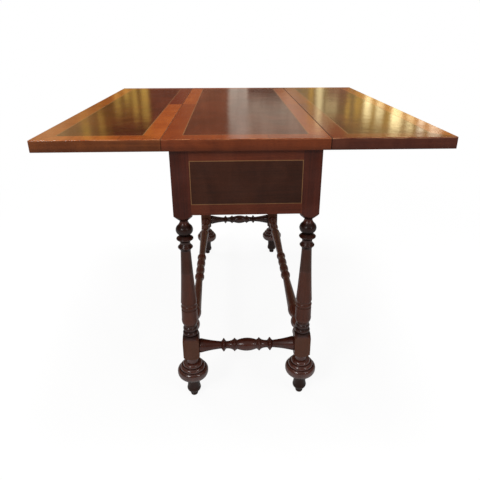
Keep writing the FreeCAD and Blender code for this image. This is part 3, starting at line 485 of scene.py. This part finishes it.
def boardEdges(name, look, box):
    # the board's edges show grain that runs along them, and its underside is unpolished
    material, tree, shader = woodMaterial(name, look)
    place = objectPlace(tree)
    x, y, z = splitAxes(tree, place)
    low, high = box
    atEnd = calc(tree, "GREATER_THAN", calc(tree, "ABSOLUTE", y), high.y - skin["face"])
    notEnd = calc(tree, "SUBTRACT", 1.0, atEnd)
    along = calc(tree, "ADD", calc(tree, "MULTIPLY", x, atEnd), calc(tree, "MULTIPLY", y, notEnd))
    across = calc(tree, "ADD", calc(tree, "MULTIPLY", y, atEnd), calc(tree, "MULTIPLY", x, notEnd))
    grain = useGroup(tree, grainGroup, Vector=joinAxes(tree, along, across, z), Fineness=look["fineness"])
    under = calc(tree, "LESS_THAN", z, low.z + skin["face"])
    raw = mixColours(tree, grain["Streaks"], hexColour(look["underDark"]), hexColour(look["underLight"]))
    colour = mixColours(tree, under, woodColour(tree, look, grain), raw)
    foot = remap(tree, z, low.z, low.z + look["footHeight"], look["foot"], 0.0)
    colour = tint(tree, colour, foot, calc(tree, "SUBTRACT", 1.0, under), look["footColour"])
    # pale chipped spots and a painted highlight along the top arris
    patchy = noise(tree, stretch(tree, place, look["chipScale"]), 1.0, detail=4.0, roughness=0.65)
    nearTop = remap(tree, z, *(high.z - depth for depth in look["chipDepths"]), 0.0, look["chipsAndGlint"])
    colour = tint(tree, colour, remap(tree, patchy, *look["chipSpread"]), nearTop, look["chipAndGlintColour"])
    endFace = calc(tree, "GREATER_THAN", calc(tree, "ABSOLUTE", y), high.y - skin["arris"])
    colour, seam = darkSeam(tree, place, colour, look, endFace)
    finishSurface(tree, shader, colour, place, look, dull=seam)
    return material


def plainVeneer(name, look):
    material, tree, shader = woodMaterial(name, look)
    place = objectPlace(tree)
    grain = useGroup(tree, grainGroup, Vector=place, Fineness=look["fineness"])
    finishSurface(tree, shader, woodColour(tree, look, grain), place, look)
    return material


def bandVeneer(name, look, box, tones):
    material, tree, shader = woodMaterial(name, look)
    place = objectPlace(tree)
    low, high = box
    band = useGroup(tree, crossbandGroup, Vector=place, Middle=(low.x + high.x) / 2,
                    Half_Width=(high.x - low.x) / 2, Half_Length=(high.y - low.y) / 2, **tones)
    grain = useGroup(tree, grainGroup, Vector=band["Across"], Fineness=look["fineness"])
    colour = mixColours(tree, band["Tone"], woodColour(tree, look, grain), hexColour(look["deep"]))
    colour = mixColours(tree, band["Joint"], colour, hexColour(look["joint"]))
    # pale chipped spots and a painted highlight along the band's outer edge
    patchy = noise(tree, place, look["chipScale"], detail=5.0, roughness=0.65)
    nearEdge = remap(tree, band["From Edge"], 0.0, look["chipWidth"], look["chipsAndGlint"], 0.0)
    colour = tint(tree, colour, remap(tree, patchy, *look["chipSpread"]), nearEdge, look["chipAndGlintColour"])
    colour, seam = darkSeam(tree, place, colour, look)
    finishSurface(tree, shader, colour, place, look, dull=seam)
    return material


for board, parts in boards.items():
    core, banding = parts["core"], "banding_" + board
    dress(boardEdges("board " + board, {**edgeLook, **parts["edge"]}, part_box(core)), core)
    dress(bandVeneer("crossbanding " + board, bandLook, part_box(banding), parts["tones"]), banding)
dress(plainVeneer("field veneer", fieldLook), *("field_" + board for board in boards))
dress(plainVeneer("stringing", stringLook), *("stringing_" + board for board in boards))
endStringLook = {**stringLook, "dark": "#4a301d", "light": "#69492e", "flash": "#765436", "specular": 0.1}
dress(plainVeneer("end stringing", endStringLook), "end_stringing_front", "end_stringing_rear")


tarnishing = {"patches": 130.0, "spread": (0.4, 0.65), "pits": 900.0, "pitDepth": 0.0003, "bump": 0.25}


def metal(name, look):
    material, tree, shader = newMaterial(name, Metallic=1.0)
    place = objectPlace(tree)
    patches = noise(tree, place, tarnishing["patches"], detail=6.0, roughness=0.65)
    tarnish = remap(tree, patches, *tarnishing["spread"])
    colour = mixColours(tree, tarnish, hexColour(look["bright"]), hexColour(look["tarnish"]))
    feed(tree, shader.inputs["Base Color"], colour)
    feed(tree, shader.inputs["Roughness"], remap(tree, tarnish, 0.0, 1.0, look["smooth"], look["rough"]))
    bump = addNode(tree, "Bump", None, Strength=tarnishing["bump"], Distance=tarnishing["pitDepth"],
                   Height=noise(tree, place, tarnishing["pits"], detail=3.0))
    feed(tree, shader.inputs["Normal"], bump.outputs["Normal"])
    return material


brass = metal("hinge brass", {"bright": "#b08b4c", "tarnish": "#5d4423", "smooth": 0.3, "rough": 0.6})
dress(brass, *(kind + side for kind in ("hinge_plates_", "hinge_flaps_", "hinge_pins_") for side in sides))
steel = metal("screw steel", {"bright": "#8d8680", "tarnish": "#4b3f36", "smooth": 0.35, "rough": 0.65})
dress(steel, "plate_screws", "top_screws", "fly_rail_screws", *("flap_screws_" + side for side in sides))
iron = metal("pin iron", {"bright": "#5a5450", "tarnish": "#2d221c", "smooth": 0.45, "rough": 0.75})
dress(iron, *("fly_pin_" + quarter for quarter in quarters))
print("materials:", len(bpy.data.materials))


# Studio: floor, world, lamps and camera

studio = {
    "floorHalf": 30.0, "floor": "#f2f2f1", "floorRough": 0.7, "floorSpecular": 0.1,
    "fadeFrom": 0.7, "fadeTo": 2.2, "floorWhite": 0.9,
    "ambient": (0.6, 0.6, 0.6, 1.0), "horizon": 0.0, "horizonTop": 0.055,
    "ceiling": "#cfc9c4", "ceilingFrom": 0.3, "ceilingTo": 0.8, "windowTop": (0.2, 0.27),
    # uneven light: scales across and up, how sharply it shows, and its darkest and brightest
    "patches": (0.5, 0.5), "patch": (0.75, 1.2), "bars": (3.2, 0.6), "bar": (0.78, 1.2), "barStart": 5.0,
    "uneven": (0.35, 0.65),
    # walls from left to right: degrees to the right of straight behind the far end
    "walls": [(-30, "#8a6449"), (-21, "#d2b47e"), (-17.5, "#ab8a55"), (-15, "#80602f"), (-9.8, "#6b4726"),
              (-9.2, "#6e4433"), (-6.5, "#784c3b"), (-5, "#8c5e47"), (9, "#8c5e47"), (14, "#a08f6c"),
              (24, "#b8a47a"), (30, "#8a6449")],
    "soft": 0.4, "leanFrom": 6.1,  # how soft a window's sides are, and the height a lean starts from
}
tints = {"plaster": "#bfae9b", "curtain": "#ccbdad", "shade": "#4e2f24", "umber": "#84604a",
         "olive": "#9a8455", "gold": "#cfa651", "bright": "#f3dfa4", "cream": "#f8e8c8"}
# windows and panels low behind the far end: middle and half width, lowest and highest, in degrees; level is
# brightness, and lean moves one to the right with its height
windows = [
    {"at": 6.0, "half": 6.0, "low": 10.2, "high": 15.0, "tint": "plaster", "level": 1.0},
    {"at": 4.9, "half": 4.9, "low": 6.9, "high": 10.6, "tint": "plaster", "level": 1.0},
    {"at": 1.1, "half": 1.0, "low": 2.0, "high": 13.0, "tint": "curtain", "level": 1.1},
    {"at": 4.6, "half": 2.2, "low": 1.0, "high": 7.0, "tint": "shade", "level": 0.7},
    {"at": 19.0, "half": 12.0, "low": 1.0, "high": 16.0, "tint": "olive", "level": 1.15, "lean": 1.05},
    {"at": 20.0, "half": 5.0, "low": 6.2, "high": 10.3, "tint": "gold", "level": 1.15, "lean": 0.3},
    {"at": -12.0, "half": 1.9, "low": 9.6, "high": 14.0, "tint": "shade", "level": 1.0},
    {"at": -10.0, "half": 0.35, "low": 2.0, "high": 9.4, "tint": "gold", "level": 1.2},
    {"at": -11.1, "half": 0.2, "low": 2.0, "high": 9.0, "tint": "gold", "level": 1.25},
    {"at": -12.0, "half": 0.3, "low": 2.0, "high": 7.4, "tint": "gold", "level": 1.25},
    {"at": -13.1, "half": 0.3, "low": 5.5, "high": 8.2, "tint": "gold", "level": 1.1},
    {"at": -15.2, "half": 0.2, "low": 8.4, "high": 11.0, "tint": "gold", "level": 1.25},
    {"at": -17.0, "half": 0.3, "low": 9.4, "high": 12.0, "tint": "gold", "level": 1.1},
    {"at": 9.8, "half": 0.15, "low": 2.0, "high": 9.6, "tint": "gold", "level": 1.1},
    {"at": 10.8, "half": 0.25, "low": 2.0, "high": 9.8, "tint": "bright", "level": 1.8},
    {"at": 13.0, "half": 1.1, "low": 2.0, "high": 7.2, "tint": "umber", "level": 1.25},
    {"at": 13.2, "half": 0.9, "low": 10.0, "high": 13.0, "tint": "umber", "level": 1.0},
    {"at": 12.3, "half": 0.6, "low": 7.7, "high": 8.2, "tint": "bright", "level": 2.2},
    {"at": 14.2, "half": 0.15, "low": 7.2, "high": 9.2, "tint": "gold", "level": 1.7},
    {"at": 15.3, "half": 0.2, "low": 6.6, "high": 9.0, "tint": "gold", "level": 1.9},
    {"at": 16.5, "half": 0.3, "low": 6.4, "high": 9.0, "tint": "bright", "level": 3.1},
    {"at": 17.9, "half": 0.3, "low": 6.8, "high": 9.4, "tint": "bright", "level": 2.7},
    {"at": 19.9, "half": 0.5, "low": 7.6, "high": 10.1, "tint": "bright", "level": 4.4},
    {"at": 21.4, "half": 0.3, "low": 8.2, "high": 10.2, "tint": "bright", "level": 3.2},
    {"at": 22.7, "half": 0.2, "low": 8.6, "high": 10.2, "tint": "cream", "level": 3.6},
    {"at": 24.3, "half": 0.5, "low": 8.8, "high": 10.2, "tint": "cream", "level": 4.4},
]


def whiteRays(tree, glossy=1.0):
    path = addNode(tree, "LightPath").outputs
    seen = calc(tree, "MAXIMUM", path["Is Glossy Ray"], path["Is Transmission Ray"])
    return calc(tree, "MAXIMUM", path["Is Camera Ray"], calc(tree, "MULTIPLY", seen, glossy)), path


def makeFloor():
    half = studio["floorHalf"]
    corners = [(-half, -half, 0), (half, -half, 0), (half, half, 0), (-half, half, 0)]
    mesh = bpy.data.meshes.new("floor")
    mesh.from_pydata(corners, [], [(0, 1, 2, 3)])
    floor = bpy.data.objects.new("floor", mesh)
    bpy.context.scene.collection.objects.link(floor)
    material, tree, shader = newMaterial("floor", Base_Color=hexColour(studio["floor"]),
                                         Roughness=studio["floorRough"],
                                         Specular_IOR_Level=studio["floorSpecular"])
    white = addNode(tree, "Emission", None, Color=(1, 1, 1, 1), Strength=1.0)
    away = vectorCalc(tree, "LENGTH", objectPlace(tree), output="Value")
    share = remap(tree, away, studio["fadeFrom"], studio["fadeTo"], studio["floorWhite"], 1.0, smooth=True)
    rays, _ = whiteRays(tree)
    mix = addNode(tree, "MixShader", None, Fac=calc(tree, "MULTIPLY", rays, share))
    feed(tree, mix.inputs[1], shader.outputs["BSDF"])
    feed(tree, mix.inputs[2], white.outputs["Emission"])
    # from below the floor is clear, so that the underside can be looked at
    clear = addNode(tree, "BsdfTransparent")
    oneSided = addNode(tree, "MixShader", None, Fac=addNode(tree, "NewGeometry").outputs["Backfacing"])
    feed(tree, oneSided.inputs[1], mix.outputs["Shader"])
    feed(tree, oneSided.inputs[2], clear.outputs["BSDF"])
    feed(tree, tree.nodes["Material Output"].inputs["Surface"], oneSided.outputs["Shader"])
    mesh.materials.append(material)


def addWindow(tree, room, across, height, window):
    soft = studio["soft"]
    leaning = calc(tree, "MULTIPLY", calc(tree, "SUBTRACT", height, studio["leanFrom"]),
                   window.get("lean", 0.0))
    aside = calc(tree, "SUBTRACT", calc(tree, "SUBTRACT", across, window["at"]), leaning)
    aside = calc(tree, "ABSOLUTE", aside)
    beside = remap(tree, aside, window["half"] - soft / 2, window["half"] + soft, 1.0, 0.0, smooth=True)
    above = remap(tree, height, window["low"] - soft, window["low"] + soft, smooth=True)
    below = remap(tree, height, window["high"] - soft, window["high"] + 2 * soft, 1.0, 0.0, smooth=True)
    mask = calc(tree, "MULTIPLY", calc(tree, "MULTIPLY", beside, above), below)
    channels = hexColour(tints[window["tint"]])[:3]
    glass = (*(channel * window["level"] for channel in channels), 1.0)
    return mixColours(tree, mask, room, glass)


def unevenness(tree, across, height, scale, start, levels):
    place = joinAxes(tree, calc(tree, "MULTIPLY", across, scale[0]),
                     calc(tree, "MULTIPLY", height, scale[1]), start)
    return remap(tree, noise(tree, place, 1.0, detail=2.0), *studio["uneven"], *levels)


def makeWorld():
    # the room that polished wood reflects: windows and walls behind the far end, a pale ceiling
    world = bpy.data.worlds.new("studio")
    bpy.context.scene.world = world
    world.use_nodes = True
    tree = world.node_tree
    x, y, up = splitAxes(tree, addNode(tree, "TexCoord").outputs["Generated"])
    across = calc(tree, "DEGREES", calc(tree, "ARCTAN2", x, y))
    height = calc(tree, "DEGREES", calc(tree, "ARCSINE", up))
    low, high = studio["walls"][0][0], studio["walls"][-1][0]
    stops = [((degree - low) / (high - low), colour) for degree, colour in studio["walls"]]
    room = colourRamp(tree, remap(tree, across, low, high), stops)
    for window in windows:
        room = addWindow(tree, room, across, height, window)
    patches = unevenness(tree, across, height, studio["patches"], 0.0, studio["patch"])
    bars = unevenness(tree, across, height, studio["bars"], studio["barStart"], studio["bar"])
    broken = calc(tree, "MULTIPLY", patches, bars)
    room = vectorCalc(tree, "MULTIPLY", room, joinAxes(tree, broken, broken, broken))
    overWindows = remap(tree, up, *studio["windowTop"], smooth=True)
    room = mixColours(tree, overWindows, room, hexColour(studio["walls"][0][1]))
    room = mixColours(tree, remap(tree, up, studio["ceilingFrom"], studio["ceilingTo"], smooth=True),
                      room, hexColour(studio["ceiling"]))
    nearFloor = remap(tree, up, studio["horizon"], studio["horizonTop"], 1.0, 0.0, smooth=True)
    rays, path = whiteRays(tree, nearFloor)
    light = mixColours(tree, path["Is Diffuse Ray"], room, studio["ambient"])
    feed(tree, tree.nodes["Background"].inputs["Color"], mixColours(tree, rays, light, (1, 1, 1, 1)))


# broad lamps light the wood, and only the mirrored ones show in its polish
lampAim = (0, 0, 0.45)
lamps = {
    "key": {"at": (-2.2, -2.4, 2.6), "size": (1.0, 1.0), "power": 18},
    "bright window": {"at": (-1.7, -2.9, 2.3), "size": (0.7, 0.7), "power": 50, "mirrored": True},
    "second window": {"at": (2.0, -2.6, 1.9), "size": (0.4, 0.4), "power": 15, "mirrored": True},
    "fill": {"at": (2.6, -1.8, 1.6), "size": (1.6, 1.6), "power": 12},
    "overhead": {"at": (0.2, 0.2, 3.2), "size": (1.1, 1.1), "power": 55},
    "side window": {"at": (-2.6, 1.6, 2.2), "size": (0.5, 0.8), "power": 16},
}


def makeLamp(name, look):
    lamp = bpy.data.lights.new(name, "AREA")
    lamp.shape = "RECTANGLE"
    lamp.size, lamp.size_y = look["size"]
    lamp.energy = look["power"]
    thing = bpy.data.objects.new(name, lamp)
    thing.location = look["at"]
    thing.rotation_euler = (Vector(lampAim) - Vector(look["at"])).to_track_quat("-Z", "Y").to_euler()
    thing.visible_camera = False
    thing.visible_glossy = look.get("mirrored", False)
    bpy.context.scene.collection.objects.link(thing)


# the camera stands in front of the narrow end, turned a little to the right and tilted down
sight = {"at": (-0.0371, -1.5157, 0.9635), "turn": -2.442, "tilt": 24.058, "lens": 34.413, "sensor": 36.0,
         "shift": (-0.0198, -0.0059), "clip": (0.05, 200.0)}


def makeCamera():
    camera = bpy.data.cameras.new("camera")
    camera.lens, camera.sensor_width = sight["lens"], sight["sensor"]
    camera.shift_x, camera.shift_y = sight["shift"]
    camera.clip_start, camera.clip_end = sight["clip"]
    thing = bpy.data.objects.new("camera", camera)
    thing.location = sight["at"]
    thing.rotation_euler = (math.radians(90 - sight["tilt"]), 0, math.radians(sight["turn"]))
    bpy.context.scene.collection.objects.link(thing)
    bpy.context.scene.camera = thing


makeFloor()
makeWorld()
for name, look in lamps.items():
    makeLamp(name, look)
makeCamera()
bpy.context.scene.view_settings.view_transform = "Standard"
print("studio ready")
